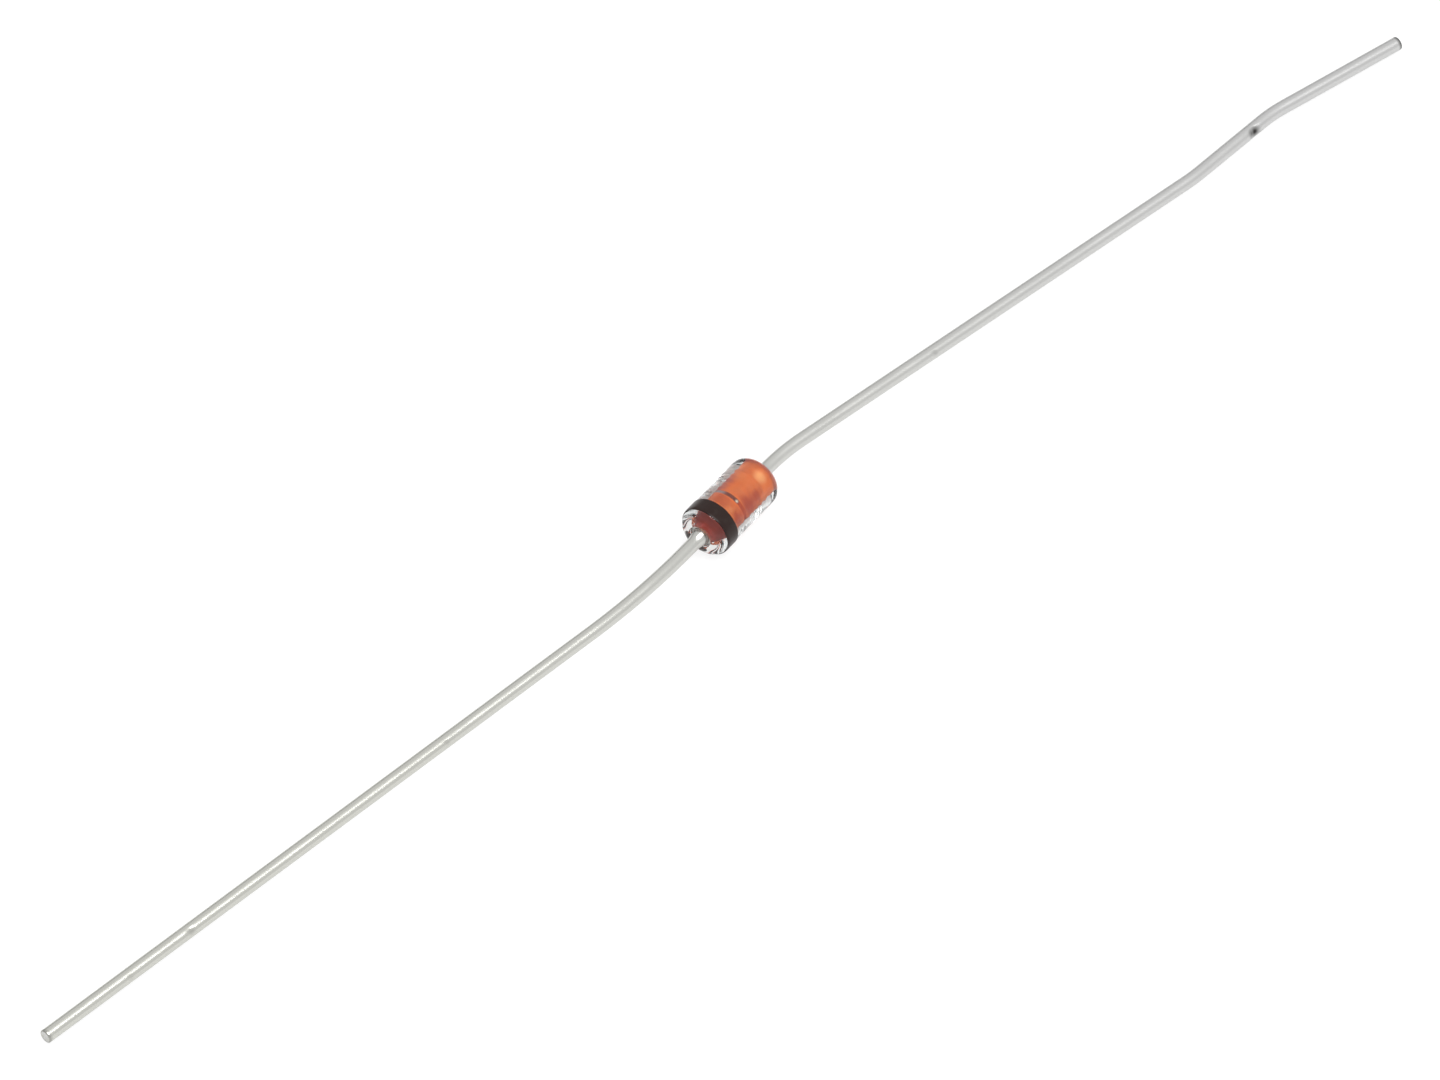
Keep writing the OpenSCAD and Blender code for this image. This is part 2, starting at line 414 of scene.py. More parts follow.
class Finish:
    """A material being built: its nodes, its shader and the coordinates it reads."""

    def __init__(self, name):
        self.material = bpy.data.materials.new(name)
        self.material.use_nodes = True
        self.tree = self.material.node_tree
        self.shader = next(node for node in self.tree.nodes if node.type == "BSDF_PRINCIPLED")
        self.places = self.tree.nodes.new("ShaderNodeTexCoord")

    def set(self, **values):
        """Plain numbers and colours on the shader's own sockets."""
        for socket, value in values.items():
            self.shader.inputs[socket.replace("_", " ")].default_value = value

    def node(self, kind, **settings):
        """A new node with its settings."""
        made = self.tree.nodes.new(kind)
        for name, value in settings.items():
            setattr(made, name, value)
        return made

    def link(self, source, target):
        self.tree.links.new(source, target)

    def feed(self, socket, source):
        """Let a source drive one of the shader's sockets."""
        self.link(source, self.shader.inputs[socket])

    def group(self, tree, places="Object", **values):
        """Place a node group on the named coordinates and return its output."""
        made = self.node("ShaderNodeGroup", node_tree=tree)
        self.link(self.places.outputs[places], made.inputs["Vector"])
        for socket, value in values.items():
            made.inputs[socket].default_value = value
        return made.outputs[0]

    def spot(self, middle, core, size, ragged=0.0):
        """Mask of a spot, with its middle, core, size and the raggedness of its edge in millimetres."""
        values = {"Middle": Vector(middle) * MM, "Core": core * MM, "Size": size * MM, "Ragged": ragged * MM}
        return self.group(spot_group(), **values)

    def mix(self, mask, low, high):
        """Colour that goes from low to high by the mask; either may be a socket."""
        made = self.node("ShaderNodeMix", data_type="RGBA")
        self.link(mask, made.inputs["Factor"])
        for socket, value in ((made.inputs[6], low), (made.inputs[7], high)):
            if isinstance(value, bpy.types.NodeSocket):
                self.link(value, socket)
            else:
                socket.default_value = (*value, 1.0)
        return made.outputs[2]

    def ramp(self, mask, low, high):
        """Number that goes from low to high by the mask."""
        made = self.node("ShaderNodeMapRange")
        self.link(mask, made.inputs["Value"])
        made.inputs["To Min"].default_value = low
        made.inputs["To Max"].default_value = high
        return made.outputs["Result"]

    def bump(self, height, strength):
        """Relief of the surface by a height, at a share of the full depth of a fine mark."""
        made = self.node("ShaderNodeBump")
        made.inputs["Strength"].default_value = strength
        made.inputs["Distance"].default_value = FINE_MARK
        self.link(height, made.inputs["Height"])
        self.feed("Normal", made.outputs["Normal"])


# Brightness of hazy glass, as a share of the clear glass
HAZE_SHADE = 0.97


def clear_glass(colours):
    """Fire-polished sleeve glass, with the faint waves and haze of drawn tube."""
    finish = Finish("clear_glass")
    haze = finish.group(mottle_group(), Scale=1400.0, Low=0.45, High=0.8)
    tint = finish.mix(haze, colours.glass, dimmed(colours.glass, HAZE_SHADE))
    finish.feed("Base Color", tint)
    finish.feed("Roughness", finish.ramp(haze, 0.0, 0.05))
    finish.set(Transmission_Weight=1.0, IOR=1.5)
    return finish.material


# The dark film on the bore between the studs, which paints the shade in the gap, its paler and its red part,
# and a painted glint on it: middle, even core and size in millimetres
FILM_PATCH = ((-0.08, -0.14, 0.385), 0.55, 0.75)
FILM_PALE = ((-0.08, 0.33, 0.243), 0.12, 0.3)
FILM_RED = ((-0.08, -0.408, 0.036), 0.27, 0.36)
PAINTED_GLINT = ((-0.08, -0.228, 0.341), 0.0, 0.07)


def seal_film(colours):
    """Red-brown film on part of the bore between the studs: painted shade in the gap, with a painted glint on
    it.
    """
    finish = Finish("seal_film")
    tone = finish.ramp(finish.group(mottle_group(), Scale=3500.0), 0.0, 0.4)
    colour = finish.mix(tone, colours.film, colours.stud_dark_and_shade)
    colour = finish.mix(finish.spot(*FILM_PALE), colour, colours.film_pale)
    colour = finish.mix(finish.spot(*FILM_RED), colour, colours.film_red)
    # Painted glint: a bright cream speck on the film in the gap
    colour = finish.mix(finish.spot(*PAINTED_GLINT), colour, colours.glint)
    finish.feed("Base Color", colour)
    finish.feed("Alpha", finish.spot(*FILM_PATCH))
    finish.set(Roughness=0.5, Specular_IOR_Level=0.2)
    return finish.material


def black_paint(colours):
    """Glossy black ring of paint, a little thinner in places."""
    finish = Finish("black_paint")
    thin = finish.group(mottle_group(), Scale=1800.0, Low=0.5, High=0.8)
    finish.feed("Base Color", finish.mix(thin, colours.band, colours.band_thin))
    finish.feed("Roughness", finish.ramp(thin, 0.28, 0.42))
    finish.bump(finish.group(mottle_group(), Scale=5000.0), 0.15)
    finish.set(Specular_IOR_Level=0.23)
    return finish.material


# Spots on the studs: middle, even core and size in millimetres, with the shares of bright copper in the
# painted highlights and of mauve in the mauve ones
HIGHLIGHT_SPOTS = (((1.27, -0.22, 0.35), 0.05, 0.28), ((-0.5, -0.25, 0.32), 0.0, 0.18))
HIGHLIGHT_SHARES = (1.0, 0.45)
# Painted shade at the studs' outer ends: under the band at the cathode end, a dark rim at the anode end
SHADED_ENDS = (((-1.6, 0.0, 0.0), 0.65, 0.85), ((1.9, 0.0, 0.0), 0.52, 0.58))
# Mauve spots along the side away from the camera: tarnish with painted sheen
MAUVE_SHEEN_SPOTS = (((0.1, 0.385, 0.14), 0.0, 0.36), ((0.5, 0.385, 0.14), 0.0, 0.45))
MAUVE_SHEEN_SHARE = 0.8
# Darker patches of deep red: the three low on the side towards the camera are painted shade, the one on top a
# darker patch; with the share of deep red in each, and how ragged the patches are
SHADE_AND_DARK_SPOTS = (
    ((0.25, -0.41, 0.05), 0.1, 0.55, 0.75),
    ((0.72, -0.405, 0.07), 0.05, 0.3, 0.65),
    ((-0.42, -0.41, 0.05), 0.05, 0.4, 0.7),
    ((-0.38, 0.08, 0.4), 0.1, 0.45, 0.4),
)
PATCH_RAGGED = 0.35


def stud_oxide(colours):
    """Copper-red oxide of a stud under the glass: uneven and thicker in patches, with painted shade low on
    its near side and at its ends, mauve tarnish with painted sheen on its far side, and painted highlights in
    spots.
    """
    finish = Finish("stud_oxide")
    uneven = finish.group(mottle_group(), Scale=2600.0, Low=0.3, High=0.7)
    thick = finish.group(mottle_group(), Scale=1500.0, Low=0.45, High=0.75)
    colour = finish.mix(finish.ramp(uneven, 0.0, 0.2), colours.stud, colours.stud_bright_and_highlight)
    colour = finish.mix(finish.ramp(thick, 0.0, 0.3), colour, colours.stud_dark_and_shade)
    # Painted shade low on the side towards the camera, and one darker patch on top
    for middle, core, size, share in SHADE_AND_DARK_SPOTS:
        patch = finish.ramp(finish.spot(middle, core, size, PATCH_RAGGED), 0.0, share)
        colour = finish.mix(patch, colour, colours.stud_dark_and_shade)
    # Mauve tarnish with painted sheen along the side away from the camera
    for values in MAUVE_SHEEN_SPOTS:
        patch = finish.ramp(finish.spot(*values, PATCH_RAGGED), 0.0, MAUVE_SHEEN_SHARE)
        colour = finish.mix(patch, colour, colours.stud_mauve_sheen)
    # Painted highlights: spots mixed towards bright copper, with some metal in them
    highlight = finish.node("ShaderNodeMath", operation="ADD")
    for values, share, socket in zip(HIGHLIGHT_SPOTS, HIGHLIGHT_SHARES, highlight.inputs):
        finish.link(finish.ramp(finish.spot(*values), 0.0, share), socket)
    colour = finish.mix(highlight.outputs["Value"], colour, colours.stud_bright_and_highlight)
    # Painted shade at the studs' outer ends
    for values in SHADED_ENDS:
        colour = finish.mix(finish.spot(*values), colour, colours.stud_dark_and_shade)
    finish.feed("Base Color", colour)
    finish.feed("Metallic", finish.ramp(highlight.outputs["Value"], 0.0, 0.8))
    finish.feed("Roughness", finish.ramp(uneven, 0.5, 0.36))
    finish.bump(finish.group(drawn_lines_group(), Along=1500.0, Across=16000.0), 0.15)
    finish.set(Specular_IOR_Level=0.25, Sheen_Weight=0.1, Sheen_Tint=(0.8, 0.6, 0.8, 1.0))
    return finish.material


def die_silicon(colours):
    """Dark polished silicon."""
    finish = Finish("die_silicon")
    tone = finish.group(mottle_group(), Scale=6000.0)
    finish.feed("Base Color", finish.mix(tone, colours.silicon, colours.silicon_pale))
    finish.feed("Roughness", finish.ramp(tone, 0.15, 0.35))
    finish.set(Metallic=0.6)
    return finish.material


def bump_silver(colours):
    """Bright silver of the plated bump."""
    finish = Finish("bump_silver")
    grain = finish.group(mottle_group(), Scale=14000.0)
    finish.feed("Base Color", finish.mix(grain, colours.silver, colours.silver_pale))
    finish.feed("Roughness", finish.ramp(grain, 0.2, 0.4))
    finish.set(Metallic=1.0)
    return finish.material


# Where along the axis the tin is coolest and warmest, and its roughness at these places
TIN_PLACES = (25 * MM, -15 * MM)
TIN_ROUGHNESS = (0.312, 0.25)


def drawn_tin(colours):
    """Tin on drawn wire: satin, with fine lines along it, warmer at the cathode end, with grime and painted
    shade in its dents and painted shade on its cut rim.
    """
    if "drawn_tin" in bpy.data.materials:
        return bpy.data.materials["drawn_tin"]
    finish = Finish("drawn_tin")
    split = finish.node("ShaderNodeSeparateXYZ")
    finish.link(finish.places.outputs["Object"], split.inputs["Vector"])
    warmth = finish.node("ShaderNodeMapRange")
    finish.link(split.outputs["X"], warmth.inputs["Value"])
    for socket, place in zip(("From Min", "From Max"), TIN_PLACES):
        warmth.inputs[socket].default_value = place
    warm = warmth.outputs["Result"]
    tone = finish.mix(warm, colours.tin, colours.tin_warm)
    # Grime and painted shade in the dents, painted shade on the cut rim
    grime = finish.node("ShaderNodeAttribute", attribute_name=GRIME_AND_SHADE).outputs["Fac"]
    finish.feed("Base Color", finish.mix(grime, tone, colours.grime))
    dull = finish.group(mottle_group(), Scale=500.0, Low=0.4, High=0.75)
    rough = finish.node("ShaderNodeMath", operation="ADD")
    finish.link(finish.ramp(warm, *TIN_ROUGHNESS), rough.inputs[0])
    finish.link(finish.ramp(dull, -0.01, 0.03), rough.inputs[1])
    finish.feed("Roughness", rough.outputs["Value"])
    finish.bump(finish.group(drawn_lines_group(), "UV", Along=30.0, Across=22.0), 0.13)
    finish.set(Metallic=1.0)
    return finish.material


def cut_tin(colours):
    """Tin that was not drawn: the sheared end of a lead and the outer face of a stud."""
    if "cut_tin" in bpy.data.materials:
        return bpy.data.materials["cut_tin"]
    finish = Finish("cut_tin")
    grain = finish.group(mottle_group(), Scale=9000.0)
    finish.feed("Base Color", finish.mix(grain, colours.tin, colours.tin_warm))
    finish.feed("Roughness", finish.ramp(grain, 0.35, 0.55))
    finish.bump(finish.group(drawn_lines_group(), Along=9000.0, Across=2500.0), 0.4)
    finish.set(Metallic=1.0)
    return finish.material


# Pieces

# Rings where the softened glass drew in over the gap: place along the axis and depth
DRAWN_RINGS = (
    (-0.1 * MM, 0.012 * MM),
    (0.12 * MM, 0.008 * MM),
    (0.33 * MM, 0.008 * MM),
    (0.56 * MM, 0.013 * MM),
    (0.82 * MM, 0.016 * MM),
)
# Half the width of such a ring's bottom, and how far its sides reach
RING_BOTTOM = 0.026 * MM
RING_REACH = 0.13 * MM


class DIODE_OT_glass_sleeve(bpy.types.Operator):
    """Spin the clear sleeve with its melted round ends"""

    bl_idname = "diode.glass_sleeve"
    bl_label = "Glass sleeve"
    bl_options = {"REGISTER", "UNDO"}

    def execute(self, context):
        sizes = context.scene.diode_body
        low, high = reach("glass_sleeve")
        outer = radius("glass_sleeve")
        inner = radius("cathode_stud") - sizes.seal_depth
        middle = (inner + outer) / 2
        piece = ring_section("sleeve_glass", low, high, inner, outer)
        round_corners(piece, lambda place: place.y > middle, sizes.glass_round, segments=18)
        lip = inner + sizes.glass_lip / 2
        round_corners(piece, lambda place: place.y < lip, sizes.glass_lip, segments=6)
        spin_ring(piece)
        for place, depth in DRAWN_RINGS:
            pick(piece, "verts", lambda spot: abs(spot.x - place) < RING_BOTTOM and spot.yz.length > middle)
            share = 1 - depth / outer
            bpy.ops.transform.resize(
                value=(1, share, share),
                center_override=(place, 0, 0),
                use_proportional_edit=True,
                proportional_edit_falloff="SMOOTH",
                proportional_size=RING_REACH,
            )
        close_up(piece)
        ripple(piece, sizes.glass_wave, sizes.glass_wave_size)
        colours = context.scene.diode_colours
        hand_over(piece, "glass_sleeve", "glass", clear_glass(colours), seal_film(colours))
        # The bore across the gap between the studs gets the film of painted shade
        film_low = reach("cathode_stud")[1] - sizes.film_overlap
        film_high = reach("anode_stud")[0] + sizes.film_overlap
        for face in piece.data.polygons:
            on_bore = face.center.yz.length < inner + sizes.glass_wave
            face.material_index = int(on_bore and film_low < face.center.x < film_high)
        return {"FINISHED"}


class DIODE_OT_cathode_band(bpy.types.Operator):
    """Paint the black band round the cathode end"""

    bl_idname = "diode.cathode_band"
    bl_label = "Cathode band"
    bl_options = {"REGISTER", "UNDO"}

    def execute(self, context):
        sizes = context.scene.diode_body
        low, high = reach("cathode_band")
        outer = radius("cathode_band")
        glass = radius("glass_sleeve")
        stray = sizes.band_wander / 2
        shoulder = reach("glass_sleeve")[0] + sizes.glass_round
        centre = Vector((shoulder, glass - sizes.glass_round, 0))
        piece = ring_section("band_ring", shoulder, high - stray, glass - sizes.seal_depth, outer)
        wrap = math.asin((shoulder - low - stray) / (outer - centre.y))
        pick(piece, "edges", lambda place: place.x < shoulder + TOUCH)
        bpy.ops.mesh.spin(steps=8, angle=-wrap, center=centre, axis=(0, 0, 1))
        bpy.ops.mesh.select_all(action="SELECT")
        bpy.ops.mesh.dissolve_faces()
        rims = (
            Vector((high - stray, outer, 0)),
            centre + Vector((-math.sin(wrap), math.cos(wrap), 0)) * (outer - centre.y),
        )

        def at_rim(place):
            return min((place - rim).length for rim in rims) < TOUCH

        round_corners(piece, at_rim, sizes.band_edge, segments=5)
        spin_ring(piece)
        close_up(piece, smooth=60)
        ripple(piece, sizes.band_wander, sizes.band_wander_size, direction="X")
        hand_over(piece, "cathode_band", "band_paint", black_paint(context.scene.diode_colours))
        return {"FINISHED"}


# Width of the rings that divide the faces of a stud
FACE_RING = 0.12 * MM


class DIODE_OT_studs(bpy.types.Operator):
    """Turn the two copper-red studs that are sealed in the sleeve"""

    bl_idname = "diode.studs"
    bl_label = "Studs"
    bl_options = {"REGISTER", "UNDO"}

    def execute(self, context):
        sizes = context.scene.diode_body
        oxide = stud_oxide(context.scene.diode_colours)
        tin = cut_tin(context.scene.diode_colours)
        for node, name in (("cathode_stud", "stud_cathode"), ("anode_stud", "stud_anode")):
            low, high = reach(node)
            put_down()
            bpy.ops.mesh.primitive_cylinder_add(
                vertices=128,
                radius=radius(node),
                depth=high - low,
                location=((low + high) / 2, 0, 0),
                rotation=(0, math.pi / 2, 0),
            )
            piece = take_up(name)

            def at_end(place):
                return min(abs(place.x - low), abs(place.x - high)) < TOUCH

            pick(piece, "edges", at_end)
            bpy.ops.mesh.bevel(offset=sizes.stud_bevel, segments=4, affect="EDGES")
            pick(piece, "faces", at_end)
            bpy.ops.mesh.inset(thickness=FACE_RING)
            bpy.ops.mesh.inset(thickness=FACE_RING)
            close_up(piece)
            hand_over(piece, node, "stud_copper", oxide, tin)
            tinned = max(abs(low), abs(high)) - sizes.stud_bevel
            for face in piece.data.polygons:
                face.material_index = int(abs(face.center.x) > tinned)
        return {"FINISHED"}


class DIODE_OT_die(bpy.types.Operator):
    """Saw the silicon die and plate the bump that the anode stud presses on"""

    bl_idname = "diode.die"
    bl_label = "Die and bump"
    bl_options = {"REGISTER", "UNDO"}

    def execute(self, context):
        sizes = context.scene.diode_body
        colours = context.scene.diode_colours
        low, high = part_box("zener_die")
        put_down()
        bpy.ops.mesh.primitive_cube_add(size=1.0, location=(low + high) / 2)
        bpy.context.object.scale = high - low
        die = take_up("silicon_die")
        bpy.ops.mesh.select_all(action="SELECT")
        bpy.ops.mesh.bevel(offset=sizes.die_bevel, segments=3, affect="EDGES")
        close_up(die, smooth=35)
        hand_over(die, "zener_die", "silicon", die_silicon(colours))

        low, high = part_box("die_bump")
        put_down()
        bpy.ops.mesh.primitive_uv_sphere_add(
            segments=48, ring_count=32, radius=(high.z - low.z) / 2, location=(low.x, 0, 0)
        )
        bump = take_up("silver_bump")
        for place, outwards in ((low.x, -1), (high.x, 1)):
            bpy.ops.mesh.select_all(action="SELECT")
            bpy.ops.mesh.bisect(
                plane_co=(place, 0, 0),
                plane_no=(outwards, 0, 0),
                use_fill=True,
                clear_outer=True,
                threshold=SAME_POINT,
            )
        close_up(bump)
        hand_over(bump, "die_bump", "contact_silver", bump_silver(colours))
        return {"FINISHED"}


# Mesh of a lead: its sides, the longest stretch and the largest turn between two rings, and a bead's rings
WIRE_SIDES = 48
RING_STEP = 0.15 * MM
BEND_STEP = math.radians(0.6)
BEAD_RINGS = 14
# Furthest that the end of the wire may lie from where it should have got to
ASTRAY = 0.002 * MM
# Marks left by handling: distance along the wire, turn from its top to its left, width, depth, and the grime
# and painted shade in the hollow
CATHODE_DENTS = (
    (12.3 * MM, math.radians(66), 0.14 * MM, 0.015 * MM, 0.15),
    (23.7 * MM, math.radians(62), 0.18 * MM, 0.02 * MM, 0.25),
    (26.4 * MM, math.radians(72), 0.14 * MM, 0.015 * MM, 0.15),
)
ANODE_DENTS = (
    (8.2 * MM, math.radians(-49), 0.14 * MM, 0.015 * MM, 0.2),
    (23.2 * MM, math.radians(-55), 0.22 * MM, 0.012 * MM, 1.0),
    (23.34 * MM, math.radians(-60), 0.24 * MM, 0.05 * MM, 1.4),
)
# How far a dent's finer mesh and its bottom reach, as shares of its width
DENT_MESH = 1.5
DENT_BOTTOM = 0.25
# How dark the painted shade on the sheared rim of each lead's end is, and the rim's width as a share of the
# tip's bevel
CATHODE_RIM_SHADE = 0.4
ANODE_RIM_SHADE = 0.85
RIM_WIDTH = 1.1
# Least cosine between the wire's end and the way that a face of its cut looks
CUT_FACING = 0.999
# Stations on either side of a vertex among which the nearest stretch of wire is looked for
NEAR_STATIONS = 3


def onward(turned):
    """Way that a wire runs after it has turned so far."""
    return Vector((math.cos(turned), math.sin(turned), 0))


def leftward(turned):
    """Way to the left of such a wire."""
    return Vector((-math.sin(turned), math.cos(turned), 0))


class WireBender:
    """Draws a lead in the XY plane with extrude and spin, out from the face of a stud along +X.

    The end face of the wire stays selected, and the stations passed are kept to lay the wire's UV map."""

    def __init__(self, name, start, weld_radius):
        put_down()
        bpy.ops.mesh.primitive_circle_add(
            vertices=WIRE_SIDES,
            radius=weld_radius,
            fill_type="NGON",
            location=(start, 0, 0),
            rotation=(0, math.pi / 2, 0),
        )
        self.piece = take_up(name)
        bpy.ops.mesh.select_mode(type="FACE")
        bpy.ops.mesh.select_all(action="SELECT")
        bpy.ops.mesh.duplicate()
        self.place = Vector((start, 0, 0))
        self.turned = 0.0
        self.radius = weld_radius
        self.length = 0.0
        self.stations = [(self.place.copy(), 0.0, 0.0)]
        self.dents = []

    def heading(self):
        """Way that the wire runs at its end."""
        return onward(self.turned)

    def pass_station(self, length):
        """Keep the place that the wire has got to after so much more length."""
        self.length += length
        self.stations.append((self.place.copy(), self.turned, self.length))

    def taper(self, length, new_radius):
        """Extrude the end face straight on and scale it to a new radius."""
        move = self.heading() * length
        bpy.ops.mesh.extrude_region_move(TRANSFORM_OT_translate={"value": move})
        self.place += move
        self.pass_station(length)
        factor = new_radius / self.radius
        bpy.ops.transform.resize(value=(factor, factor, factor), center_override=self.place)
        self.radius = new_radius

    def straight(self, length):
        """Draw a straight stretch in even steps; one that the weld bead has used up is left out."""
        if length < TOUCH:
            return
        steps = math.ceil(length / RING_STEP)
        move = self.heading() * length / steps
        bpy.ops.mesh.extrude_repeat(steps=steps, offset=move)
        for _ in range(steps):
            self.place += move
            self.pass_station(length / steps)
        self.check_end()

    def bend(self, angle, bend_radius):
        """Spin the end face round the middle of a bend; plus turns to the left."""
        side = 1 if angle > 0 else -1
        centre = self.place + leftward(self.turned) * side * bend_radius
        steps = max(1, math.ceil(abs(angle) / BEND_STEP))
        bpy.ops.mesh.spin(steps=steps, angle=-angle, center=centre, axis=(0, 0, 1))
        for _ in range(steps):
            self.turned += angle / steps
            self.place = centre - leftward(self.turned) * side * bend_radius
            self.pass_station(bend_radius * abs(angle) / steps)
        self.check_end()

    def check_end(self):
        """Make sure that only the end face is selected, and that it is where the wire has got to."""
        mesh = bmesh.from_edit_mesh(self.piece.data)
        ends = [face for face in mesh.faces if face.select]
        if len(ends) != 1 or (ends[0].calc_center_median() - self.place).length > ASTRAY:
            raise RuntimeError(f"{self.piece.name}: the end of the wire went astray")

    def dent(self, distance, turn, width, depth, grime):
        """Split the faces round a spot on the wire and push them in; turn is from its top to its left."""
        number = bisect.bisect([length for _, _, length in self.stations], distance) - 1
        start, turned, length = self.stations[number]
        out = leftward(turned) * math.sin(turn) + Vector((0, 0, math.cos(turn)))
        spot = start + onward(turned) * (distance - length) + out * self.radius
        pick(self.piece, "faces", lambda middle: (middle - spot).length < DENT_MESH * width)
        bpy.ops.mesh.subdivide(number_cuts=2)
        pick(self.piece, "verts", lambda corner: (corner - spot).length < DENT_BOTTOM * width)
        bpy.ops.transform.translate(
            value=-depth * out,
            use_proportional_edit=True,
            proportional_edit_falloff="SMOOTH",
            proportional_size=width,
        )
        self.dents.append((spot, width, grime))

    def nearest_station(self, place):
        """Length along the wire, its turn and its middle beside a vertex."""
        number = bisect.bisect([start.x for start, _, _ in self.stations], place.x)
        near = self.stations[max(0, number - NEAR_STATIONS):number + NEAR_STATIONS]
        best = None
        for (start, turned, length), (end, _, after) in zip(near, near[1:]):
            run = end - start
            share = max(0.0, min(1.0, (place - start).dot(run) / run.length_squared))
            gap = (place - start - run * share).length_squared
            if best is None or gap < best[0]:
                best = (gap, length + (after - length) * share, turned, start + run * share)
        return best[1:]

    def unroll(self):
        """UV map: U runs along the wire and V round it, with the seam underneath."""
        data = self.piece.data
        layer = data.uv_layers.new(name="along_wire")
        spots = []
        for vertex in data.vertices:
            length, turned, middle = self.nearest_station(vertex.co)
            offset = vertex.co - middle
            across = offset.dot(leftward(turned))
            spots.append((length / self.length, math.atan2(across, offset.z) / math.tau + 0.5))
        for face in data.polygons:
            rounds = [spots[data.loops[loop].vertex_index][1] for loop in face.loop_indices]
            crosses = max(rounds) - min(rounds) > 0.5
            for loop, turn in zip(face.loop_indices, rounds):
                along = spots[data.loops[loop].vertex_index][0]
                layer.data[loop].uv = (along, turn + 1 if crosses and turn < 0.5 else turn)

    def soil(self, rim_width, rim_shade):
        """Attribute that tells how dark the tin is painted: grime and painted shade, most in the middle of a
        dent, and painted shade on the cut rim.
        """
        layer = self.piece.data.attributes.new(GRIME_AND_SHADE, "FLOAT", "POINT")
        tip_out = self.heading()
        for vertex, value in zip(self.piece.data.vertices, layer.data):
            marks = [grime * (1 - (vertex.co - spot).length / width) for spot, width, grime in self.dents]
            # Painted shade along the sheared rim of the cut end
            if (self.place - vertex.co).dot(tip_out) < rim_width:
                marks.append(rim_shade)
            value.value = min(1.0, max([0.0, *marks]))


def make_lead(sizes, colours, node, name, face_out, route, dents, rim_shade):
    """Draw one lead, round its cut end, dent it, roll it down to the table and hand it over.

    face_out is -1 for the cathode side, route is a list of (straight length, angle, bend radius), dents a
    list of what dent takes, and the last argument tells how dark the painted shade on the cut end's rim is."""
    start = abs(reach("cathode_stud")[0]) if face_out < 0 else reach("anode_stud")[1]
    wire = WireBender(name, start, sizes.weld_radius)
    piece = wire.piece
    for number in range(1, BEAD_RINGS + 1):
        ease = 0.5 + 0.5 * math.cos(math.pi * number / BEAD_RINGS)
        narrow = sizes.wire_radius + (sizes.weld_radius - sizes.wire_radius) * ease
        wire.taper(sizes.weld_length / BEAD_RINGS, narrow)
    used = sizes.weld_length
    for length, angle, bend_radius in route:
        wire.straight(length - used)
        used = 0.0
        wire.bend(angle, bend_radius)
    wire.straight(sizes.wire_length - wire.length)
    bpy.ops.mesh.region_to_loop()
    bpy.ops.mesh.bevel(offset=sizes.tip_bevel, segments=4, affect="EDGES")
    for dent in dents:
        wire.dent(*dent)
    close_up(piece)
    wire.unroll()
    wire.soil(RIM_WIDTH * sizes.tip_bevel, rim_shade)
    tip_out = wire.heading()
    hand_over(piece, node, "tinned_wire", drawn_tin(colours), cut_tin(colours))
    for face in piece.data.polygons:
        at_tip = (face.center - wire.place).length < 2 * sizes.wire_radius
        face.material_index = int(at_tip and face.normal.dot(tip_out) > CUT_FACING)
    rest_height = -CAD_BOX[0].z
    roll = math.asin((rest_height - sizes.wire_radius) / abs(wire.place.y))
    piece.rotation_euler = (roll, 0, math.pi if face_out < 0 else 0)
    bpy.ops.object.transform_apply(location=True, rotation=True, scale=True)


class DIODE_OT_leads(bpy.types.Operator):
    """Draw and bend the two tinned wire leads"""

    bl_idname = "diode.leads"
    bl_label = "Leads"
    bl_options = {"REGISTER", "UNDO"}

    def execute(self, context):
        sizes = context.scene.diode_wire
        colours = context.scene.diode_colours
        cathode_route = [(sizes.cathode_root, -sizes.cathode_bend, sizes.cathode_bend_radius)]
        anode_route = [
            (sizes.anode_root, -sizes.anode_bend, sizes.anode_bend_radius),
            (sizes.anode_run, sizes.kink_start, sizes.kink_start_radius),
            (sizes.kink_run, -sizes.kink_end, sizes.kink_end_radius),
        ]
        for lead in (
            ("cathode_lead", "lead_cathode", -1, cathode_route, CATHODE_DENTS, CATHODE_RIM_SHADE),
            ("anode_lead", "lead_anode", 1, anode_route, ANODE_DENTS, ANODE_RIM_SHADE),
        ):
            make_lead(sizes, colours, *lead)
        return {"FINISHED"}


# Stage

# Where the camera stands: turn and height about the middle of the sleeve, distance to what it looks at, and
# how far that lies to the right of the middle and above it in the picture
CAMERA_TURN = math.radians(-54.557)
CAMERA_HEIGHT = math.radians(47.161)
CAMERA_DISTANCE = 605.09 * MM
CAMERA_SIDE = -0.324 * MM
CAMERA_RISE = -1.111 * MM
# Width of the picture at that distance, and the width of the camera's sensor in Blender's millimetres
PICTURE_WIDTH = 47.38 * MM
SENSOR_WIDTH = 36.0
# Nearest distance that the camera sees, and the side of the table, in metres
NEAREST = 0.01
TABLE_SIDE = 8.0
# The room's light: which way is up for its fade, where the fade starts and ends, and its two levels
ROOM_UP = (0.0, -0.3, 1.0)
ROOM_EDGE = (-0.15, 0.35)
ROOM_LEVELS = (0.4, 0.84)
# The key light over the body, which the wires mirror along their tops, in metres and watts
KEY_PLACE = (0.05, -0.28, 0.88)
KEY_SIZE = (0.26, 0.65)
KEY_POWER = 3.9
# Brightness of the table's darker patches, as a share of the rest
CARD_SHADE = 0.99
# Share of the table's own shading that the camera sees, the light that lifts the rest to white,
# and the share of that lift which the wires mirror
SHADOW_TRACE = 0.3
TABLE_GLOW = 0.85
MIRRORED_LIFT = 0.5


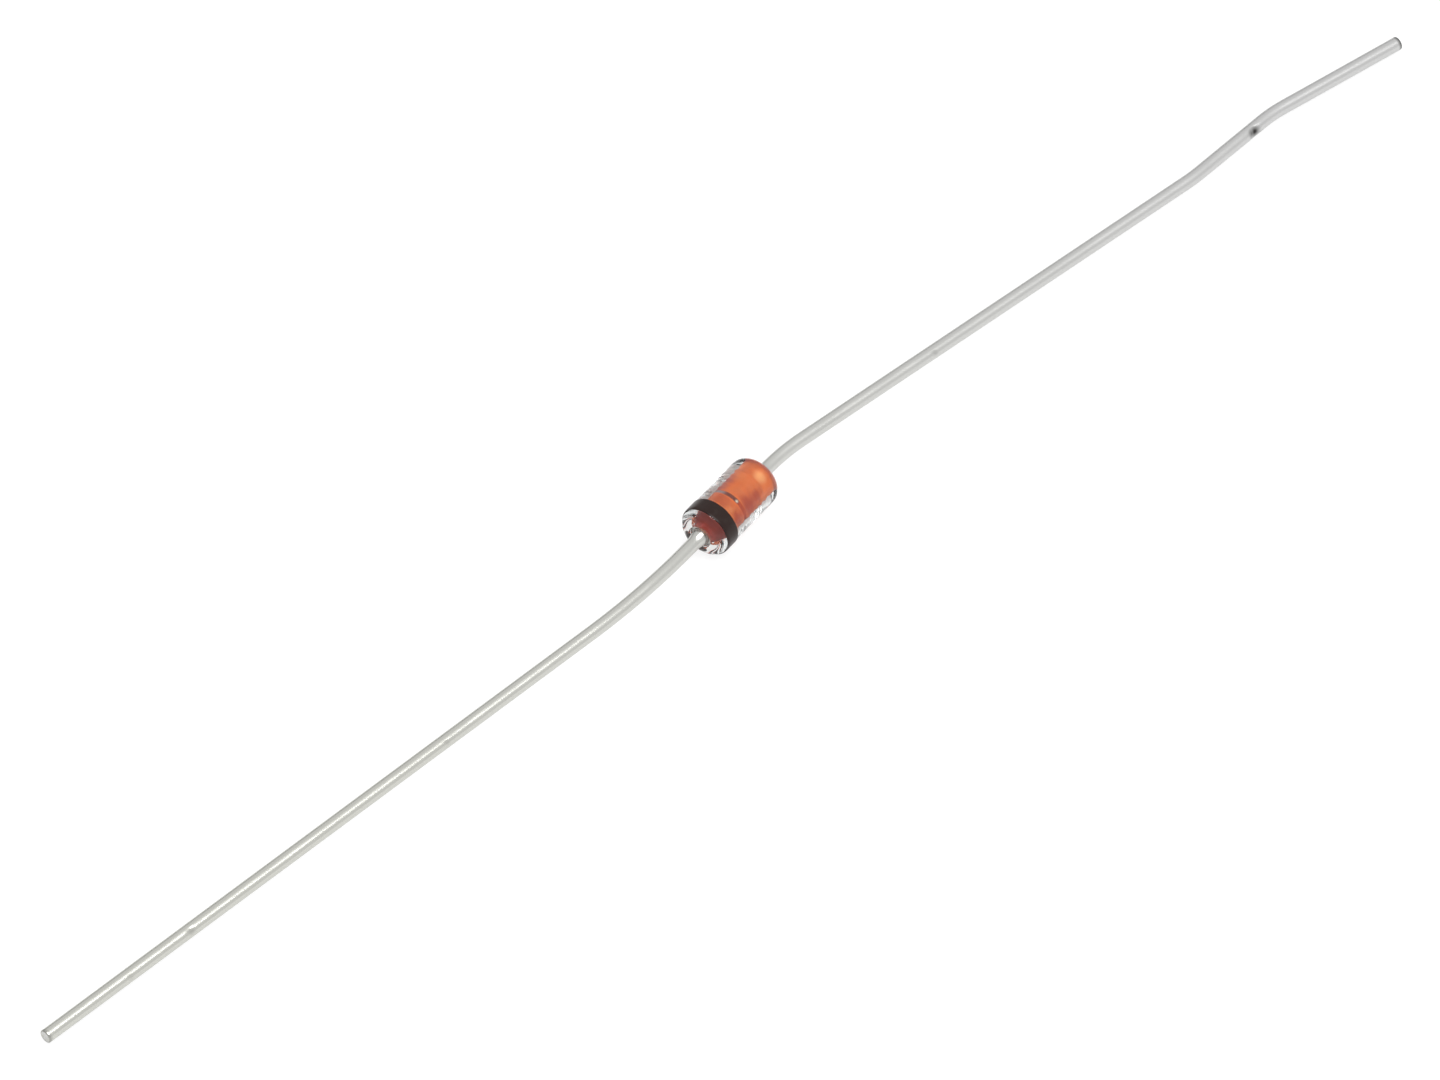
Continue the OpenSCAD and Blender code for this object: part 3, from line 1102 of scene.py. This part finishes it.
class DIODE_OT_stage(bpy.types.Operator):
    """Lay the pale table, light it softly and place the camera"""

    bl_idname = "diode.stage"
    bl_label = "Stage"
    bl_options = {"REGISTER", "UNDO"}

    def execute(self, context):
        scene = context.scene
        put_down()
        bpy.ops.mesh.primitive_plane_add(size=TABLE_SIDE, location=(0, 0, CAD_BOX[0].z))
        table = take_up("table")
        bpy.ops.object.mode_set(mode="OBJECT")
        table.data.materials.append(self.table_top(scene.diode_colours))
        self.room(scene)
        self.key_light()
        self.camera(scene)
        scene.view_settings.view_transform = "Standard"
        return {"FINISHED"}

    def table_top(self, colours):
        """Pale card; the camera sees it lifted to white, with only a trace of the diode's shadow.

        In the wires, which mirror the card, it is lifted part of the way."""
        finish = Finish("table_top")
        path = finish.node("ShaderNodeLightPath")
        changed = finish.node("ShaderNodeMath", operation="ADD")
        finish.link(path.outputs["Diffuse Depth"], changed.inputs[0])
        finish.link(path.outputs["Transmission Depth"], changed.inputs[1])
        seen = finish.node("ShaderNodeMath", operation="MAXIMUM")
        finish.link(path.outputs["Is Camera Ray"], seen.inputs[0])
        finish.link(finish.ramp(changed.outputs["Value"], MIRRORED_LIFT, 0.0), seen.inputs[1])
        lift = seen.outputs["Value"]
        soft = finish.group(mottle_group(), Scale=6.0)
        card = finish.mix(soft, colours.table, dimmed(colours.table, CARD_SHADE))
        traced = finish.mix(lift, card, dimmed(colours.table, SHADOW_TRACE))
        finish.feed("Base Color", traced)
        finish.feed("Emission Color", finish.mix(lift, (0, 0, 0), (1, 1, 1)))
        finish.set(Roughness=0.9, Specular_IOR_Level=0.1, Emission_Strength=TABLE_GLOW)
        return finish.material

    def room(self, scene):
        """Even white light from all round, dimmer low down on the side away from the camera."""
        world = bpy.data.worlds.new("studio")
        world.use_nodes = True
        scene.world = world
        tree = world.node_tree
        tree.nodes.clear()
        way = tree.nodes.new("ShaderNodeTexCoord")
        lean = add_maths(tree, "DOT_PRODUCT")
        lean.inputs[1].default_value = ROOM_UP
        level = tree.nodes.new("ShaderNodeMapRange")
        level.interpolation_type = "SMOOTHSTEP"
        for socket, value in zip(("From Min", "From Max", "To Min", "To Max"), (*ROOM_EDGE, *ROOM_LEVELS)):
            level.inputs[socket].default_value = value
        shade = tree.nodes.new("ShaderNodeBackground")
        pale = tree.nodes.new("ShaderNodeBackground")
        for light in (shade, pale):
            light.inputs["Color"].default_value = (1, 1, 1, 1)
        path = tree.nodes.new("ShaderNodeLightPath")
        choice = tree.nodes.new("ShaderNodeMixShader")
        end = tree.nodes.new("ShaderNodeOutputWorld")
        join(
            tree,
            (way, "Generated", lean, 0),
            (lean, "Value", level, "Value"),
            (level, "Result", shade, "Strength"),
            (path, "Is Camera Ray", choice, "Fac"),
            (shade, "Background", choice, 1),
            (pale, "Background", choice, 2),
            (choice, "Shader", end, "Surface"),
        )

    def key_light(self):
        """A soft box that looks at the diode and that the camera can't see."""
        put_down()
        bpy.ops.object.light_add(type="AREA", location=KEY_PLACE)
        light = bpy.context.object
        light.name = "key_light"
        light.rotation_euler = (-Vector(KEY_PLACE)).to_track_quat("-Z", "Y").to_euler()
        light.data.shape = "RECTANGLE"
        light.data.size, light.data.size_y = KEY_SIZE
        light.data.energy = KEY_POWER
        light.visible_camera = False

    def camera(self, scene):
        """A long lens that looks down on the diode from the cathode side."""
        turn, height = CAMERA_TURN, CAMERA_HEIGHT
        level = math.cos(height)
        back = Vector((math.sin(turn) * level, -math.cos(turn) * level, math.sin(height)))
        right = Vector((math.cos(turn), math.sin(turn), 0))
        target = right * CAMERA_SIDE + back.cross(right) * CAMERA_RISE
        put_down()
        bpy.ops.object.camera_add(location=target + back * CAMERA_DISTANCE)
        camera = bpy.context.object
        camera.name = "camera"
        camera.rotation_euler = back.to_track_quat("Z", "Y").to_euler()
        camera.data.sensor_width = SENSOR_WIDTH
        camera.data.lens = SENSOR_WIDTH * CAMERA_DISTANCE / PICTURE_WIDTH
        camera.data.clip_start = NEAREST
        camera.data.dof.use_dof = False
        scene.camera = camera


class DIODE_PT_panel(bpy.types.Panel):
    """Lists the pieces of the diode in the order they are made"""

    bl_label = "Glass Zener Diode"
    bl_idname = "DIODE_PT_panel"
    bl_space_type = "VIEW_3D"
    bl_region_type = "UI"
    bl_category = "Diode"

    def draw(self, context):
        layout = self.layout
        for operator in OPERATORS:
            layout.operator(operator.bl_idname)
        for group in GROUPS:
            box = layout.box()
            settings = getattr(context.scene, group)
            for name in settings.__annotations__:
                box.prop(settings, name)


OPERATORS = (
    DIODE_OT_studs,
    DIODE_OT_die,
    DIODE_OT_glass_sleeve,
    DIODE_OT_cathode_band,
    DIODE_OT_leads,
    DIODE_OT_stage,
)
GROUPS = {
    "diode_body": DiodeBodySizes,
    "diode_wire": DiodeWireSizes,
    "diode_colours": DiodeColours,
}


def register():
    for name, group in GROUPS.items():
        bpy.utils.register_class(group)
        setattr(bpy.types.Scene, name, bpy.props.PointerProperty(type=group))
    for made in (*OPERATORS, DIODE_PT_panel):
        bpy.utils.register_class(made)


def unregister():
    for made in (DIODE_PT_panel, *reversed(OPERATORS)):
        bpy.utils.unregister_class(made)
    for name, group in reversed(GROUPS.items()):
        delattr(bpy.types.Scene, name)
        bpy.utils.unregister_class(group)


def main():
    register()
    bpy.ops.diode.studs()
    bpy.ops.diode.die()
    bpy.ops.diode.glass_sleeve()
    bpy.ops.diode.cathode_band()
    bpy.ops.diode.leads()
    bpy.ops.diode.stage()


if __name__ == "__main__":
    main()
